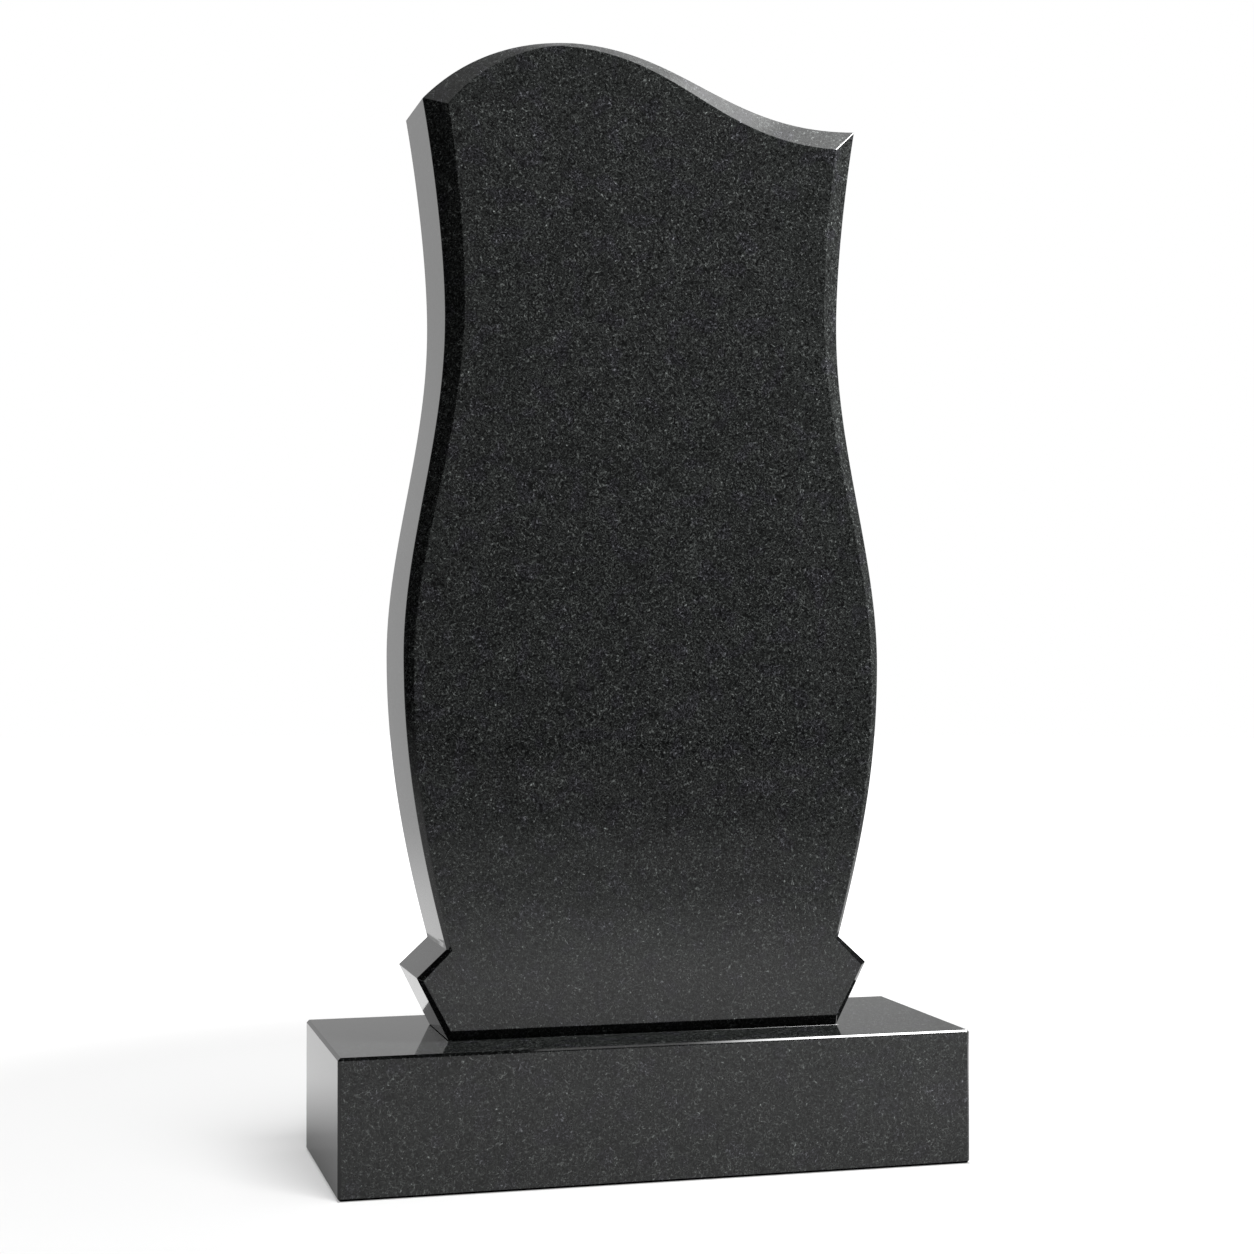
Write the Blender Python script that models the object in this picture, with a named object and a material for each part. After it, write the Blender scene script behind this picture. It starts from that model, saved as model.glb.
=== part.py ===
# Headstone: a slab of polished black granite, waisted and wavy on top, standing on a low oblong plinth.
# Metres, Z up. The origin is the middle of the plinth's underside, and the front looks along -Y.

from collections import namedtuple

import bmesh
import bpy
from mathutils import Vector
from mathutils.geometry import interpolate_bezier

# The plinth, a sawn block with a narrow flat taken off all its edges.
PLINTH_LENGTH = 0.712
PLINTH_DEPTH = 0.267
PLINTH_HEIGHT = 0.150
PLINTH_EDGE = 0.003

# The stele stands on the middle of the plinth, a hair above it where the two stones touch.
JOINT_GAP = 0.0003
STELE_THICKNESS = 0.125
STELE_EDGE = 0.0008
CURVE_STEPS = 14
SHARP_ANGLE = 0.35

# A key point of a template: its place (x, height above the foot), and the curve handles that arrive at it
# and leave it, as offsets from it. A run with no handle at either end is straight.
Key = namedtuple("Key", "x height arrive leave", defaults=(None, None))

# The slab's own outline. The two sides are one shape and its mirror image up to their corners, but for a
# right belly that is a little fuller.
SLAB_FOOT = [
    Key(0.2247, 0.0),
    Key(0.2599, 0.0695),
    Key(0.2273, 0.0995, leave=(0.0260, 0.0982)),
]
SLAB_RIGHT_BELLY = Key(0.2759, 0.4127, arrive=(0, -0.127), leave=(0, 0.123))
SLAB_LEFT_BELLY = Key(0.2745, 0.4197, arrive=(0, -0.119), leave=(0, 0.124))
SLAB_WAIST = Key(0.2283, 0.7922, arrive=(0, -0.137), leave=(0, 0.087))
SLAB_TOP = [
    Key(0.2517, 1.0250, arrive=(-0.0066, -0.0364), leave=(-0.1551, -0.0101)),
    Key(-0.0845, 1.1019, arrive=(0.1330, 0), leave=(-0.069, 0)),
    Key(-0.2530, 1.0325, arrive=(0.0428, 0.0449), leave=(0.0072, -0.0394)),
]

# The outline of the flat face inside the chamfer: close to the slab's at the foot and at the crest,
# and far inside it at the two top corners.
FACE_FOOT = [
    Key(0.2235, 0.0106),
    Key(0.2536, 0.0672),
    Key(0.2221, 0.0988, leave=(0.0255, 0.0962)),
]
FACE_RIGHT_BELLY = Key(0.2660, 0.3980, arrive=(0, -0.122), leave=(0, 0.142))
FACE_LEFT_BELLY = Key(0.2644, 0.4050, arrive=(0, -0.118), leave=(0, 0.142))
FACE_WAIST = Key(0.2086, 0.8150, arrive=(0, -0.163), leave=(0, 0.065))
FACE_TOP = [
    Key(0.2236, 1.0000, arrive=(-0.0064, -0.0344), leave=(-0.1485, 0.0017)),
    Key(-0.1007, 1.0968, arrive=(0.1433, 0), leave=(-0.010, 0)),
    Key(-0.2272, 1.0240, arrive=(0.0501, 0.0628), leave=(0.0082, -0.0442)),
]

# How far back from the face the chamfer meets the side, at the same key points.
SIDE_DEPTHS = [0.0054, 0.0054, 0.0054, 0.0077, 0.0126]
TOP_DEPTHS = [0.0160, 0.0043, 0.0160]

# The chamfer's even width to begin with, before each corner goes to its own place.
CHAMFER_START = 0.0003

GRANITE = (0.035, 0.037, 0.037, 1.0)
GRANITE_ROUGHNESS = 0.08


def clear_scene():
    for thing in list(bpy.data.objects):
        bpy.data.objects.remove(thing, do_unlink=True)


def granite(name):
    material = bpy.data.materials.new(name)
    material.use_nodes = True
    shader = material.node_tree.nodes["Principled BSDF"]
    shader.inputs["Base Color"].default_value = GRANITE
    shader.inputs["Roughness"].default_value = GRANITE_ROUGHNESS
    shader.inputs["Metallic"].default_value = 0.0
    return material


def flipped(handle):
    if handle is None:
        return None
    return -handle[0], handle[1]


def mirrored(key):
    """The same key on the left side, where the outline runs down instead of up."""
    return Key(-key.x, key.height, flipped(key.leave), flipped(key.arrive))


def template(foot, right_belly, left_belly, waist, top):
    """All the keys in order: up the right side, over the top and down the left side."""
    right = foot + [right_belly, waist]
    left = foot + [left_belly, waist]
    return right + top + [mirrored(key) for key in reversed(left)]


def run(start, end):
    """The points from one key up to the next, leaving out the last."""
    first = Vector((start.x, start.height))
    last = Vector((end.x, end.height))
    if start.leave is None or end.arrive is None:
        return [first]
    handles = first + Vector(start.leave), last + Vector(end.arrive)
    return interpolate_bezier(first, *handles, last, CURVE_STEPS + 1)[:-1]


def trace(keys, depths):
    """The closed outline as (x, height, depth), with the depth blending from key to key."""
    points = []
    for n, (start, depth) in enumerate(zip(keys, depths)):
        after = (n + 1) % len(keys)
        stretch = run(start, keys[after])
        for step, (x, height) in enumerate(stretch):
            share = step / len(stretch)
            points.append((x, height, depth + (depths[after] - depth) * share))
    return points


def finish_object(mesh, name):
    mesh.shade_smooth()
    mesh.set_sharp_from_angle(angle=SHARP_ANGLE)
    thing = bpy.data.objects.new(name, mesh)
    mesh.materials.append(granite(name + "_granite"))
    bpy.context.collection.objects.link(thing)
    return thing


def take_off_edges(bm, width):
    """A narrow flat along every sharp edge that points outward."""
    edges = [e for e in bm.edges if e.is_convex and e.calc_face_angle() > SHARP_ANGLE]
    bmesh.ops.bevel(bm, geom=edges, offset=width, offset_type="WIDTH", affect="EDGES", segments=1, profile=0.5)


def make_plinth():
    bm = bmesh.new()
    bmesh.ops.create_cube(bm, size=1.0)
    bmesh.ops.scale(bm, verts=bm.verts, vec=(PLINTH_LENGTH, PLINTH_DEPTH, PLINTH_HEIGHT))
    bmesh.ops.translate(bm, verts=bm.verts, vec=(0, 0, PLINTH_HEIGHT / 2))
    take_off_edges(bm, PLINTH_EDGE * 2 ** 0.5)
    mesh = bpy.data.meshes.new("plinth")
    bm.to_mesh(mesh)
    bm.free()
    return finish_object(mesh, "plinth")


def make_stele():
    depths = SIDE_DEPTHS + TOP_DEPTHS + SIDE_DEPTHS[::-1]
    slab = trace(template(SLAB_FOOT, SLAB_RIGHT_BELLY, SLAB_LEFT_BELLY, SLAB_WAIST, SLAB_TOP), depths)
    face = trace(template(FACE_FOOT, FACE_RIGHT_BELLY, FACE_LEFT_BELLY, FACE_WAIST, FACE_TOP), depths)
    front = -STELE_THICKNESS / 2

    # The slab at its full thickness, from its front outline.
    bm = bmesh.new()
    rim = [bm.verts.new((x, front, height)) for x, height, depth in slab]
    blank = bm.faces.new(rim)
    pulled = bmesh.ops.extrude_face_region(bm, geom=[blank])["geom"]
    back = [v for v in pulled if isinstance(v, bmesh.types.BMVert)]
    bmesh.ops.translate(bm, verts=back, vec=(0, STELE_THICKNESS, 0))

    # Insetting the front moves its corners inward and leaves new ones on the rim. Each corner then goes to
    # its place on the face's template, and the rim drops back by the chamfer's depth.
    bmesh.ops.inset_region(bm, faces=[blank], thickness=CHAMFER_START, use_even_offset=True)
    for corner, (x, height, depth) in zip(rim, face):
        edge = next(e for e in corner.link_edges if e not in blank.edges)
        edge.other_vert(corner).co.y = front + depth
        corner.co = (x, front, height)

    bmesh.ops.recalc_face_normals(bm, faces=bm.faces)
    bmesh.ops.triangulate(bm, faces=[f for f in bm.faces if len(f.verts) == 4])
    take_off_edges(bm, STELE_EDGE)
    mesh = bpy.data.meshes.new("stele")
    bm.to_mesh(mesh)
    bm.free()
    thing = finish_object(mesh, "stele")
    thing.location.z = PLINTH_HEIGHT + JOINT_GAP
    return thing


clear_scene()
make_plinth()
make_stele()
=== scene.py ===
# Headstone of polished black granite: its finish, the floor, the studio light and the camera.
# Metres, Z up. The front looks along -Y, and the origin is the middle of the plinth's underside.
import math
from collections import namedtuple

import bmesh
import bpy
from mathutils import Matrix, Vector
from mathutils.geometry import interpolate_bezier


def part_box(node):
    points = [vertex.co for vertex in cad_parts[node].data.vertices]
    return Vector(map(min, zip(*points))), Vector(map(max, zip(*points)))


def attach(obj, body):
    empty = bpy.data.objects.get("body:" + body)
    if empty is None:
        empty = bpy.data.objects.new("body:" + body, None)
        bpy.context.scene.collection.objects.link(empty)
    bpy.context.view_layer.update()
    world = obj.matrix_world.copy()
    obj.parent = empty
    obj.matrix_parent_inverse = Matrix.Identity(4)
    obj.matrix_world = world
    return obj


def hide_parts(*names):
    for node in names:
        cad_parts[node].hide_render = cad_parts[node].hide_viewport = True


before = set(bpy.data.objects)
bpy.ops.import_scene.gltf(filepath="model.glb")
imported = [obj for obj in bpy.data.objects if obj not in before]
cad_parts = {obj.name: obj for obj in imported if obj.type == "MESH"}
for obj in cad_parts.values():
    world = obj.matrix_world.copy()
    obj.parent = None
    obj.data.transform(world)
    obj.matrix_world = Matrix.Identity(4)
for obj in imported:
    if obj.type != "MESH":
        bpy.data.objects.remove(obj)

scene = bpy.context.scene
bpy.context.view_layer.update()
creaseAngle = 0.35             # in radians: a sharper edge is rounded or kept sharp
square = 0.9                   # a face is square to an axis if its normal's part along it is larger
shiftParts = (1.0, 1.7, 2.9)   # how far a shift of 1 moves a pattern along x, y and z


# Short ways to write node trees. A value may be a number, a tuple or another node's output.
def node(tree, kind, inputs=None, **settings):
    made = tree.nodes.new("ShaderNode" + kind)
    for name, value in settings.items():
        setattr(made, name, value)
    for socket, value in (inputs or {}).items():
        if isinstance(value, bpy.types.NodeSocket):
            tree.links.new(value, made.inputs[socket])
        else:
            made.inputs[socket].default_value = value
    return made


def combine(tree, operation, first, second=0.0):
    return node(tree, "Math", {0: first, 1: second}, operation=operation).outputs[0]


def add(tree, first, second):
    return combine(tree, "ADD", first, second)


def multiply(tree, first, second):
    return combine(tree, "MULTIPLY", first, second)


def ramp(tree, value, low, high, toLow=0.0, toHigh=1.0):
    ends = {"Value": value, "From Min": low, "From Max": high, "To Min": toLow, "To Max": toHigh}
    return node(tree, "MapRange", ends, interpolation_type="SMOOTHSTEP").outputs["Result"]


# A Mix node has sockets for every kind of value, so the right ones are picked by number.
def mix(tree, share, first, second):
    return node(tree, "Mix", {0: share, 2: first, 3: second}, data_type="FLOAT").outputs[0]


def mixColour(tree, share, first, second):
    return node(tree, "Mix", {0: share, 6: first, 7: second}, data_type="RGBA").outputs[2]


def scaled(tree, vector, size):
    return node(tree, "VectorMath", {0: vector, "Scale": size}, operation="SCALE").outputs[0]


def shifted(tree, vector, shift):
    move = [part * shift for part in shiftParts]
    return node(tree, "VectorMath", {0: vector, 1: move}, operation="ADD").outputs[0]


# The stone is a fine mottle of near-black minerals. Curved streaks and small round crystals, some lighter
# and some darker, run all through it, and here and there it leans to a bluish tone. A pattern's scale is
# how many of its cells fit in a crystal's length. The patterns add up by their strengths, the contrast
# multiplies the sum, and e to that power is the stone's brightness.
granite = {
    "colour": (0.0120, 0.0129, 0.0125),
    "bluish": (0.0121, 0.0124, 0.0135),
    "contrast": 0.96,
    "crystal": 0.0024,     # a crystal's length
    "refraction": 1.5,
    "level": 0.05,         # added to the sum
    # Smooth fields: (scale, shift, detail, roughness), or as many of these as differ from the usual.
    "mottle": (1.0, 3, 2.0, 0.6),
    "mottleStrength": 2.4,
    "clouds": (0.09, 31, 1.0),
    "cloudStrength": 0.7,
    "bluishPatches": (0.11, 57),
    "bluishRange": (0.06, 0.20),
    # (scale, shift, strength)
    "streaks": ((0.45, 11, 1.40), (0.60, 23, 1.30), (0.50, 37, -1.70), (0.66, 51, -1.60)),
    "streakWidth": 0.078,
    "streakBend": 0.4,
    # What breaks a streak up: its scale by the streak's, its shift past the streak's, and its range.
    "breakScale": 1.4,
    "breakShift": 40,
    "breakRange": (-0.12, 0.10),
    # (scale, shift, radius, share of the cells that show, strength)
    "crystals": ((0.85, 5, 0.42, 0.25, 1.0), (0.90, 9, 0.50, 0.50, -1.5)),
    "crystalCore": 0.4,    # the share of the radius inside which a crystal has its full strength
    # The roughness of the dark minerals and of the pale ones, and the sums between which it changes.
    "polish": 0.05,
    "paleRoughness": 0.12,
    "paleRange": (0.5, 1.5),
    # The finishes: (name, brightness as a share of the polished face's, roughness where it is even)
    "finishes": (
        ("polishedGranite", 1.0, None),
        # The dark edge finish: a mirror polish, with its colour darkened to a fifth as painted shade.
        ("mirrorFinishAndShade", 0.2, 0.05),
        ("sawnGranite", 5.0, 0.7),
    ),
}
mirrorFinishAndShade, sawnFace = 1, 2    # the places of two finishes in each piece's list of materials


def graniteGrain():
    tree = bpy.data.node_groups.new("graniteGrain", "ShaderNodeTree")
    inputs = (("Crystal", "Float"), ("Contrast", "Float"), ("Color", "Color"), ("Bluish", "Color"))
    outputs = (("Color", "Color"), ("Roughness", "Float"))
    for end, sockets in (("INPUT", inputs), ("OUTPUT", outputs)):
        for name, kind in sockets:
            tree.interface.new_socket(name, in_out=end, socket_type="NodeSocket" + kind)
    given = tree.nodes.new("NodeGroupInput").outputs
    put = tree.nodes.new("NodeGroupOutput").inputs
    place = node(tree, "TexCoord").outputs["Object"]
    grains = scaled(tree, place, combine(tree, "DIVIDE", 1.0, given["Crystal"]))

    # A smooth random field around zero.
    def field(scale, shift, detail=0.0, roughness=0.5, bend=0.0):
        look = {
            "Vector": shifted(tree, grains, shift),
            "Scale": scale,
            "Detail": detail,
            "Roughness": roughness,
            "Distortion": bend,
        }
        return add(tree, node(tree, "TexNoise", look).outputs[0], -0.5)

    # Curved lines along a field's zero, broken up into short pieces by another field.
    def streak(scale, shift):
        line = combine(tree, "ABSOLUTE", field(scale, shift, bend=granite["streakBend"]))
        body = ramp(tree, line, granite["streakWidth"], 0.0)
        breaks = field(granite["breakScale"] * scale, shift + granite["breakShift"])
        return multiply(tree, body, ramp(tree, breaks, *granite["breakRange"]))

    # Round spots in a share of a pattern's cells, picked by the cell's own random colour.
    def crystal(scale, shift, radius, share):
        cells = node(tree, "TexVoronoi", {"Vector": shifted(tree, grains, shift), "Scale": scale}).outputs
        body = ramp(tree, cells["Distance"], radius, granite["crystalCore"] * radius)
        picked = node(tree, "SeparateColor", {"Color": cells["Color"]}).outputs[0]
        return multiply(tree, body, ramp(tree, picked, 1.0 - share, 1.0))

    mottle = field(*granite["mottle"])
    total = add(tree, multiply(tree, mottle, granite["mottleStrength"]), granite["level"])
    for scale, shift, strength in granite["streaks"]:
        total = add(tree, total, multiply(tree, streak(scale, shift), strength))
    for scale, shift, radius, share, strength in granite["crystals"]:
        total = add(tree, total, multiply(tree, crystal(scale, shift, radius, share), strength))
    clouds = field(*granite["clouds"])
    total = add(tree, total, multiply(tree, clouds, granite["cloudStrength"]))

    brightness = combine(tree, "EXPONENT", multiply(tree, total, given["Contrast"]))
    bluish = ramp(tree, field(*granite["bluishPatches"]), *granite["bluishRange"])
    tone = mixColour(tree, bluish, given["Color"], given["Bluish"])
    tree.links.new(scaled(tree, tone, brightness), put["Color"])
    roughness = ramp(tree, total, *granite["paleRange"], granite["polish"], granite["paleRoughness"])
    tree.links.new(roughness, put["Roughness"])
    return tree


def graniteMaterial(grainGroup, name, brightness, roughness):
    material = bpy.data.materials.new(name)
    material.use_nodes = True
    tree = material.node_tree
    shader = tree.nodes["Principled BSDF"]
    grain = tree.nodes.new("ShaderNodeGroup")
    grain.node_tree = grainGroup
    grain.inputs["Crystal"].default_value = granite["crystal"]
    grain.inputs["Contrast"].default_value = granite["contrast"]
    for socket, colour in (("Color", granite["colour"]), ("Bluish", granite["bluish"])):
        grain.inputs[socket].default_value = (*(brightness * channel for channel in colour), 1.0)
    tree.links.new(grain.outputs["Color"], shader.inputs["Base Color"])
    if roughness is None:
        tree.links.new(grain.outputs["Roughness"], shader.inputs["Roughness"])
    else:
        shader.inputs["Roughness"].default_value = roughness
    shader.inputs["IOR"].default_value = granite["refraction"]
    return material


# The underside is sawn, the marked edges are rounded, and the piece takes its CAD node's place.
def finishPiece(bm, name, nodeName, materials, rounding, steps):
    mesh = bpy.data.meshes.new(name)
    bmesh.ops.recalc_face_normals(bm, faces=bm.faces)
    for face in bm.faces:
        if face.normal.z < -square:
            face.material_index = sawnFace
    bm.to_mesh(mesh)
    bm.free()
    mesh.shade_smooth()
    for material in materials:
        mesh.materials.append(material)
    piece = bpy.data.objects.new(name, mesh)
    scene.collection.objects.link(piece)
    bevel = piece.modifiers.new("roundedEdges", "BEVEL")
    bevel.limit_method = "WEIGHT"
    bevel.width = rounding
    bevel.segments = steps
    bevel.profile = 0.5
    bevel.use_clamp_overlap = False
    flatten = piece.modifiers.new("flatFaces", "WEIGHTED_NORMAL")
    flatten.weight = 100
    flatten.keep_sharp = True
    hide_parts(nodeName)
    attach(piece, "root")
    return piece


# A key point of a template: its place (x, height above the foot), and the curve handles that arrive at it
# and leave it, as offsets from it. A run with no handle at either end is straight.
Key = namedtuple("Key", "x height arrive leave", defaults=(None, None))

stele = {
    # The slab's own outline. Its right belly is a little fuller than the left.
    "slabFoot": [
        Key(0.2247, 0.0),
        Key(0.2599, 0.0695),
        Key(0.2273, 0.0995, leave=(0.0260, 0.0982)),
    ],
    "slabRightBelly": Key(0.2759, 0.4127, arrive=(0, -0.127), leave=(0, 0.123)),
    "slabLeftBelly": Key(0.2745, 0.4197, arrive=(0, -0.119), leave=(0, 0.124)),
    "slabWaist": Key(0.2283, 0.7922, arrive=(0, -0.137), leave=(0, 0.087)),
    "slabTop": [
        Key(0.2517, 1.0250, arrive=(-0.0066, -0.0364), leave=(-0.1551, -0.0101)),
        Key(-0.0845, 1.1019, arrive=(0.1330, 0), leave=(-0.069, 0)),
        Key(-0.2530, 1.0325, arrive=(0.0428, 0.0449), leave=(0.0072, -0.0394)),
    ],
    # The outline of the flat face inside the chamfer.
    "faceFoot": [
        Key(0.2235, 0.0106),
        Key(0.2536, 0.0672),
        Key(0.2221, 0.0988, leave=(0.0255, 0.0962)),
    ],
    "faceRightBelly": Key(0.2660, 0.3980, arrive=(0, -0.122), leave=(0, 0.142)),
    "faceLeftBelly": Key(0.2644, 0.4050, arrive=(0, -0.118), leave=(0, 0.142)),
    "faceWaist": Key(0.2086, 0.8150, arrive=(0, -0.163), leave=(0, 0.065)),
    "faceTop": [
        Key(0.2236, 1.0000, arrive=(-0.0064, -0.0344), leave=(-0.1485, 0.0017)),
        Key(-0.1007, 1.0968, arrive=(0.1433, 0), leave=(-0.010, 0)),
        Key(-0.2272, 1.0240, arrive=(0.0501, 0.0628), leave=(0.0082, -0.0442)),
    ],
    # How far back from the face the chamfer meets the side, at the same keys.
    "sideDepths": [0.0054, 0.0054, 0.0054, 0.0077, 0.0126],
    "topDepths": [0.0160, 0.0043, 0.0160],
    "curveSteps": 44,
    "insetStart": 0.0003,  # the chamfer's first, even width, before each corner goes to its place
    "chamferNormal": (-0.95, -0.30),   # the y part of a chamfer's normal lies between these
    "footMargin": 0.001,   # what is no farther than this above the foot's keys belongs to the foot
    "edge": 0.0008,        # the width of the edges' rounding
    "edgeSteps": 3,
}


def mirrored(key):
    def flip(handle):
        return handle and (-handle[0], handle[1])
    return Key(-key.x, key.height, flip(key.leave), flip(key.arrive))


# The points from one key up to the next, leaving out the last.
def run(start, end):
    first = Vector((start.x, start.height))
    last = Vector((end.x, end.height))
    if start.leave is None or end.arrive is None:
        return [first]
    handles = first + Vector(start.leave), last + Vector(end.arrive)
    return interpolate_bezier(first, *handles, last, stele["curveSteps"] + 1)[:-1]


# The closed outline as (x, height, depth), up the right side, over the top and down the left side.
def trace(part):
    names = ("Foot", "RightBelly", "LeftBelly", "Waist", "Top")
    foot, rightBelly, leftBelly, waist, top = (stele[part + name] for name in names)
    keys = foot + [rightBelly, waist] + top + [mirrored(key) for key in (waist, leftBelly, *foot[::-1])]
    depths = stele["sideDepths"] + stele["topDepths"] + stele["sideDepths"][::-1]
    points = []
    for n, (start, depth) in enumerate(zip(keys, depths)):
        after = (n + 1) % len(keys)
        stretch = run(start, keys[after])
        for step, (x, height) in enumerate(stretch):
            share = step / len(stretch)
            points.append((x, height, depth + (depths[after] - depth) * share))
    return points


def makeStele(materials):
    low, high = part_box("stele")
    front, foot = low.y, low.z
    slab = trace("slab")
    face = trace("face")

    bm = bmesh.new()
    rim = [bm.verts.new((x, front, foot + height)) for x, height, depth in slab]
    blank = bm.faces.new(rim)
    pulled = bmesh.ops.extrude_face_region(bm, geom=[blank])["geom"]
    back = [v for v in pulled if isinstance(v, bmesh.types.BMVert)]
    bmesh.ops.translate(bm, verts=back, vec=(0, high.y - front, 0))

    # The inset leaves new corners on the rim and moves the old ones in, onto the face's template.
    bmesh.ops.inset_region(bm, faces=[blank], thickness=stele["insetStart"], use_even_offset=True)
    for corner, (x, height, depth) in zip(rim, face):
        edge = next(e for e in corner.link_edges if e not in blank.edges)
        edge.other_vert(corner).co.y = front + depth
        corner.co = (x, front, foot + height)
    bmesh.ops.recalc_face_normals(bm, faces=bm.faces)

    weight = bm.edges.layers.float.new("bevel_weight_edge")
    for edge in bm.edges:
        if edge.calc_face_angle() < creaseAngle:
            continue
        if edge.is_convex:
            edge[weight] = 1.0
        else:
            edge.smooth = False

    # The foot's narrow chamfers have a mirror finish, darkened as painted shade so that it hardly shows the
    # grain.
    footTop = foot + stele["slabFoot"][-1].height + stele["footMargin"]
    least, most = stele["chamferNormal"]
    for side in bm.faces:
        if least < side.normal.y < most and max(v.co.z for v in side.verts) < footTop:
            side.material_index = mirrorFinishAndShade
    return finishPiece(bm, "polishedStele", "stele", materials, stele["edge"], stele["edgeSteps"])


plinth = {
    "flat": 0.003,         # taken off every edge
    "edge": 0.0004,        # the width of the edges' rounding
    "edgeSteps": 2,
    "bead": 0.00016,       # the hair-thin bright line of the joint, right below the slab's face
}


def makePlinth(materials):
    low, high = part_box("plinth")
    bm = bmesh.new()
    bmesh.ops.create_cube(bm, size=1.0)
    bmesh.ops.scale(bm, verts=bm.verts, vec=high - low)
    bmesh.ops.translate(bm, verts=bm.verts, vec=(low + high) / 2)
    bmesh.ops.bevel(
        bm, geom=bm.edges[:], offset=plinth["flat"], affect="EDGES", segments=1, profile=0.5, material=-1
    )
    weight = bm.edges.layers.float.new("bevel_weight_edge")
    for edge in bm.edges:
        edge[weight] = 1.0
    # The flats on the edges have the mirror finish, darkened as painted shade, so the foot's edge shows as
    # a black line.
    for side in bm.faces:
        if max(abs(part) for part in side.normal) < square:
            side.material_index = mirrorFinishAndShade

    # The bead is a square bar turned onto its edge, as long as the slab's foot.
    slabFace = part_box("stele")[0].y
    place = Matrix.Translation((0, slabFace, high.z + plinth["bead"] / 2))
    turn = Matrix.Rotation(math.pi / 4, 4, "X")
    size = Matrix.Diagonal((2 * stele["slabFoot"][0].x, plinth["bead"], plinth["bead"], 1))
    bead = bmesh.ops.create_cube(bm, size=1.0, matrix=place @ turn @ size)
    # Its faces take the same mirror finish, darkened as painted shade.
    for corner in bead["verts"]:
        for side in corner.link_faces:
            side.material_index = mirrorFinishAndShade
        for edge in corner.link_edges:
            edge.smooth = False
    return finishPiece(bm, "polishedPlinth", "plinth", materials, plinth["edge"], plinth["edgeSteps"])


# The floor is paper whose colour is painted light and shade: pale near the stone, darker farther off and
# black under the plinth. It has a painted glow that only the stones mirror. To the camera it glows all
# over, so that the picture is white right to its edges and still shows the plinth's soft shadow.
# A ramp is (start, end, value at the start, value at the end). It runs from 0 to 1 where it has no values.
floor = {
    "radius": 14.0,
    "sides": 96,
    # The paper's painted light in front and behind, near the stone, half-way off and far off, falling off
    # away from the stone; near it in front, it grows paler to the right.
    "frontToRear": (-1.0, 0.7),
    "nearFront": (-0.6, 0.6, 0.34, 0.43),
    "nearRear": 0.38,
    "middleFront": 0.148,
    "middleRear": 0.04,
    "farFront": 0.035,
    "farRear": 0.04,
    "nearToMiddle": (1.5, 3.4),
    "middleToFar": (3.4, 6.0),
    # Painted shade: the right side is dimmer, but not far in front.
    "toRight": (1.2, 2.2),
    "toRightFront": (-2.4, -1.2),
    "rightShare": 0.3,
    # The glow that only the stones see: behind them, where it fades close by as painted contact shade, and
    # a little in front.
    "rearGlow": (1.9, 3.4, 0.53, 0.62),
    "contact": (0.34, 0.75, 0.12, 1.0),
    "frontGlow": (0.0, -1.0, 0.0, 0.11),
    "frontGlowStart": (0.8, 1.3),
    "frontGlowEnd": (2.3, 1.3),
    # A painted glowing patch on the floor behind the stone at the right, which only the stones see: its
    # left, right, near and far edges.
    "glowPatch": ((0.45, 0.60), (1.20, 1.00), (0.0, 0.1), (0.8, 0.6)),
    "patchGlow": 1.5,
    # The glow that only the camera sees.
    "seenGlow": (0.9, 2.0, 0.405, 1.3),
}


def grey(tree, value):
    return node(tree, "CombineColor", {0: value, 1: value, 2: value}).outputs[0]


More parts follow.
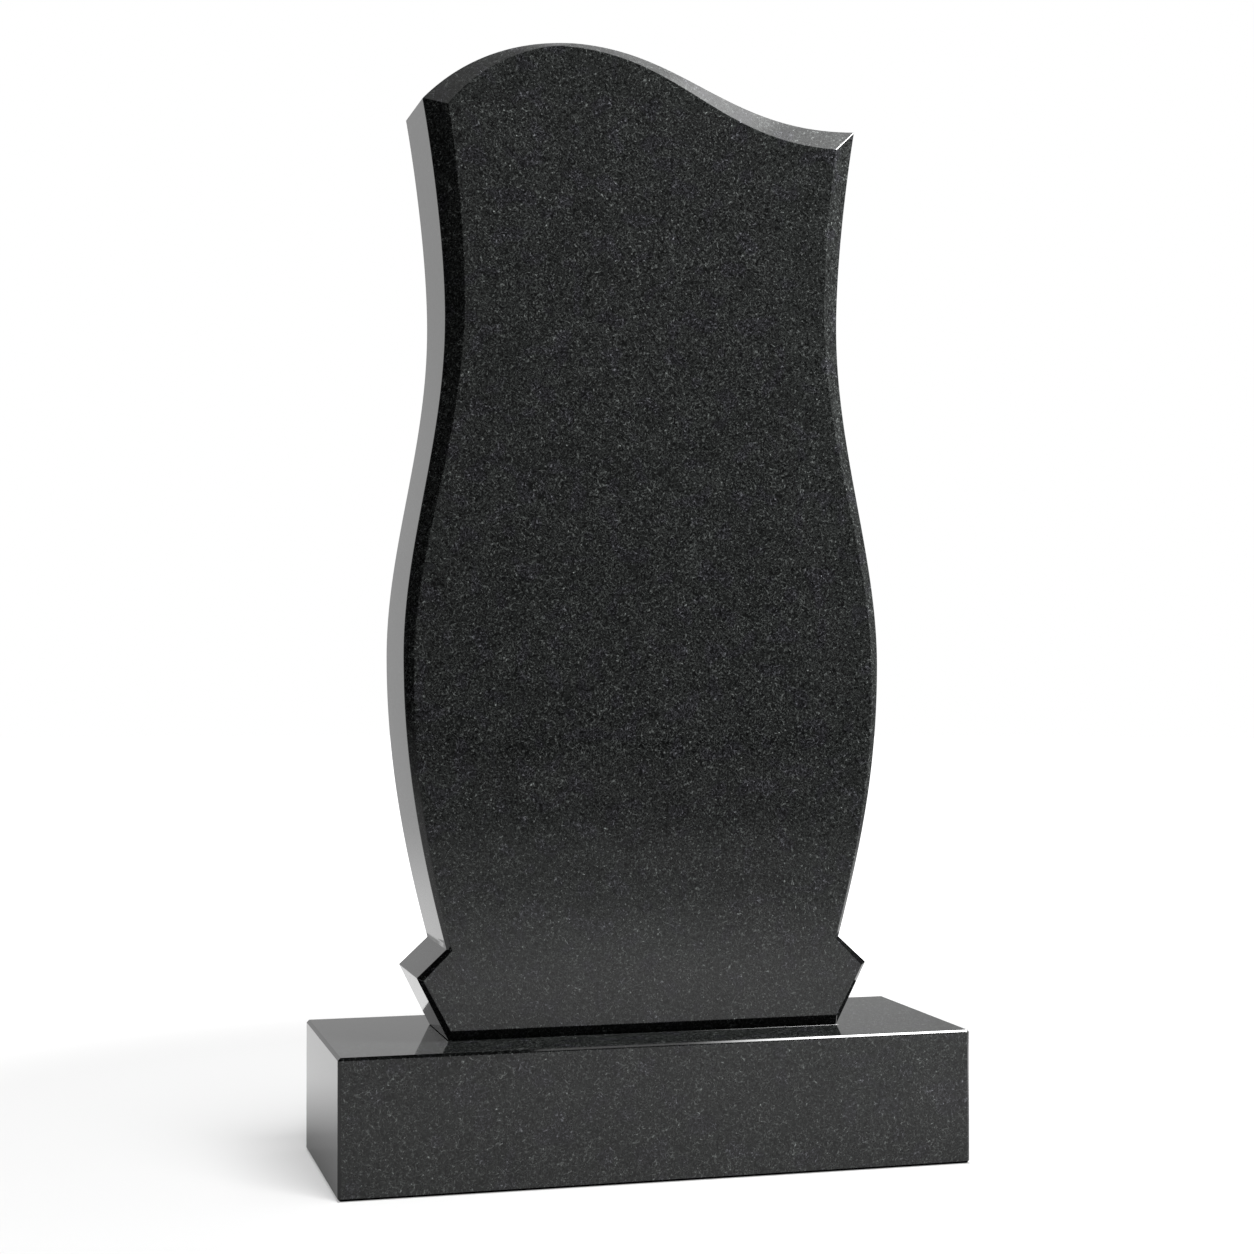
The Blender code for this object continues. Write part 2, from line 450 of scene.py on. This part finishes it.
def floorPaper():
    paper = bpy.data.materials.new("floorPaper")
    paper.use_nodes = True
    tree = paper.node_tree
    shader = tree.nodes["Principled BSDF"]
    shader.inputs["Roughness"].default_value = 1.0
    shader.inputs["Specular IOR Level"].default_value = 0.0
    place = node(tree, "TexCoord").outputs["Object"]
    away = node(tree, "VectorMath", {0: place}, operation="LENGTH").outputs["Value"]
    x, y = node(tree, "SeparateXYZ", {"Vector": place}).outputs[:2]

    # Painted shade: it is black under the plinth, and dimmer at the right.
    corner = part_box("plinth")[1]
    insideX = combine(tree, "LESS_THAN", combine(tree, "ABSOLUTE", x), corner.x)
    insideY = combine(tree, "LESS_THAN", combine(tree, "ABSOLUTE", y), corner.y)
    free = combine(tree, "SUBTRACT", 1.0, multiply(tree, insideX, insideY))
    atRight = multiply(tree, ramp(tree, x, *floor["toRight"]), ramp(tree, y, *floor["toRightFront"]))
    right = mix(tree, atRight, 1.0, floor["rightShare"])

    toRear = ramp(tree, y, *floor["frontToRear"])
    near = mix(tree, toRear, ramp(tree, x, *floor["nearFront"]), floor["nearRear"])
    middle = mix(tree, toRear, floor["middleFront"], floor["middleRear"])
    far = mix(tree, toRear, floor["farFront"], floor["farRear"])
    paintedLightAndShade = mix(tree, ramp(tree, away, *floor["nearToMiddle"]), near, middle)
    paintedLightAndShade = mix(tree, ramp(tree, away, *floor["middleToFar"]), paintedLightAndShade, far)
    paintedLightAndShade = multiply(tree, multiply(tree, paintedLightAndShade, right), free)
    tree.links.new(grey(tree, paintedLightAndShade), shader.inputs["Base Color"])

    # The stones see the painted glows behind and in front and the glowing patch. The camera sees a glow of
    # its own.
    rear = multiply(tree, toRear, ramp(tree, away, *floor["rearGlow"]))
    rear = multiply(tree, rear, ramp(tree, away, *floor["contact"]))
    front = ramp(tree, y, *floor["frontGlow"])
    for stretch in (floor["frontGlowStart"], floor["frontGlowEnd"]):
        front = multiply(tree, front, ramp(tree, away, *stretch))
    glowPatch = floor["patchGlow"]
    for axis, stretch in zip((x, x, y, y), floor["glowPatch"]):
        glowPatch = multiply(tree, glowPatch, ramp(tree, axis, *stretch))
    unseen = multiply(tree, multiply(tree, add(tree, rear, front), right), free)
    unseen = add(tree, unseen, glowPatch)
    seen = ramp(tree, away, *floor["seenGlow"])
    glow = mix(tree, node(tree, "LightPath").outputs["Is Camera Ray"], unseen, seen)
    shader.inputs["Emission Color"].default_value = (1, 1, 1, 1)
    tree.links.new(glow, shader.inputs["Emission Strength"])
    return paper


def makeFloor():
    bm = bmesh.new()
    bmesh.ops.create_circle(bm, cap_ends=True, radius=floor["radius"], segments=floor["sides"])
    mesh = bpy.data.meshes.new("floor")
    bm.to_mesh(mesh)
    bm.free()
    mesh.materials.append(floorPaper())
    piece = bpy.data.objects.new("floor", mesh)
    scene.collection.objects.link(piece)
    return piece


studio = {
    "surround": 0.01,
    # Soft glows on the studio's walls: (direction, full within this angle, gone beyond this one,
    # brightness), with the angles in degrees
    "walls": {
        "rear": ((-0.15, 1.0, -0.23), 10, 56, 0.62),
        "rearLeft": ((-0.8, 0.6, 0.10), 10, 45, 1.0),
        "front": ((0.27, -0.95, 0.10), 8, 35, 0.07),
        "frontHigh": ((0.15, -0.80, 0.60), 10, 35, 0.05),
        "right": ((1.0, -0.05, 0.10), 8, 30, 0.18),
        "overheadPatch": ((0.57, -0.155, 0.80), 1, 7, 2.0),
    },
    "lampWatts": 4,        # a box's watts on a square metre, for a brightness of 1
    # Soft boxes: (place, aim, width, length, brightness)
    "lamps": {
        "key": ((2.5, -1.0, 2.7), (0, 0, 0.75), 1.6, 1.6, 44.5),
        "overhead": ((0.15, -0.2, 3.0), (0.15, -0.2, 0), 3.6, 2.0, 2.15),
        "edgeStrip": ((1.09, -0.595, 2.9), (1.09, -0.595, 0), 1.22, 0.19, 45.0),
        "floorLamp": ((1.9, -7.6, 6.2), (0, 0, 0), 8.8, 8.8, 8.2),
    },
    # Two of the boxes are dimmer at the left. Their ramps run from 0 at the left end to 1 at the right end.
    "dimming": {
        "overhead": (0.30, 0.75, 0.25, 1.0),
        "edgeStrip": (0.28, 0.72, 0.025, 1.0),
    },
}


# The stones see the walls' glows, and the camera sees plain white.
def lightWalls():
    world = bpy.data.worlds.new("studio")
    world.use_nodes = True
    scene.world = world
    tree = world.node_tree
    look = node(tree, "TexCoord").outputs["Generated"]
    total = studio["surround"]
    for name, (direction, inner, outer, brightness) in studio["walls"].items():
        aim = Vector(direction).normalized()
        near = node(tree, "VectorMath", {0: look, 1: aim}, operation="DOT_PRODUCT", label=name)
        low, high = (math.cos(math.radians(angle)) for angle in (outer, inner))
        total = add(tree, ramp(tree, near.outputs["Value"], low, high, 0.0, brightness), total)
    light = tree.nodes["Background"]
    light.inputs["Color"].default_value = (1, 1, 1, 1)
    tree.links.new(total, light.inputs["Strength"])
    white = node(tree, "Background", {"Color": (1, 1, 1, 1), "Strength": 1.0})
    seen = node(tree, "LightPath").outputs["Is Camera Ray"]
    both = node(tree, "MixShader", {0: seen, 1: light.outputs[0], 2: white.outputs[0]})
    tree.links.new(both.outputs[0], tree.nodes["World Output"].inputs["Surface"])


def makeLamps():
    lamps = {}
    for name, (place, aim, width, length, brightness) in studio["lamps"].items():
        lamp = bpy.data.lights.new(name, "AREA")
        lamp.shape = "RECTANGLE"
        lamp.size = width
        lamp.size_y = length
        lamp.energy = studio["lampWatts"] * width * length * brightness
        lamps[name] = bpy.data.objects.new(name, lamp)
        scene.collection.objects.link(lamps[name])
        lamps[name].location = place
        lamps[name].rotation_euler = (Vector(aim) - Vector(place)).to_track_quat("-Z", "Y").to_euler()
        lamps[name].visible_camera = False

    for name, stretch in studio["dimming"].items():
        lamp = lamps[name].data
        lamp.use_nodes = True
        tree = lamp.node_tree
        spot = node(tree, "NewGeometry").outputs["Parametric"]
        across = node(tree, "SeparateXYZ", {"Vector": spot}).outputs["X"]
        tree.links.new(ramp(tree, across, *stretch), tree.nodes["Emission"].inputs["Strength"])
    return lamps


# The key lights the stones, the overhead box all but the plinth, and the strip only the plinth. The floor
# lamp lights only the floor, where only the plinth shades it.
def linkLamps(lamps, steleStone, plinthStone, floorPiece):
    groups = {}
    members = {
        "stones": (steleStone, plinthStone),
        "allButBase": (steleStone, floorPiece),
        "base": (plinthStone,),
        "paper": (floorPiece,),
    }
    for name, pieces in members.items():
        groups[name] = bpy.data.collections.new(name)
        for piece in pieces:
            groups[name].objects.link(piece)
    lamps["key"].light_linking.receiver_collection = groups["stones"]
    lamps["overhead"].light_linking.receiver_collection = groups["allButBase"]
    lamps["edgeStrip"].light_linking.receiver_collection = groups["base"]
    lamps["floorLamp"].light_linking.receiver_collection = groups["paper"]
    lamps["floorLamp"].light_linking.blocker_collection = groups["base"]


# The lens and the sensor are in millimetres, and the angles in degrees.
cameraSetting = {
    "lens": 65.33,
    "sensor": 36.0,
    "place": (-0.6833, -2.5107, 0.5687),
    "pitch": 90.764,
    "yaw": -15.061,
}


def setCamera():
    lens = bpy.data.cameras.new("camera")
    lens.lens = cameraSetting["lens"]
    lens.sensor_width = cameraSetting["sensor"]
    camera = bpy.data.objects.new("camera", lens)
    scene.collection.objects.link(camera)
    camera.location = cameraSetting["place"]
    camera.rotation_euler = (math.radians(cameraSetting["pitch"]), 0, math.radians(cameraSetting["yaw"]))
    scene.camera = camera


print("granite")
grainGroup = graniteGrain()
finishes = [graniteMaterial(grainGroup, *finish) for finish in granite["finishes"]]
print("stele")
steleStone = makeStele(finishes)
print("plinth")
plinthStone = makePlinth(finishes)
print("floor")
floorPiece = makeFloor()
print("studio")
lightWalls()
linkLamps(makeLamps(), steleStone, plinthStone, floorPiece)
print("camera")
setCamera()
scene.view_settings.view_transform = "Standard"
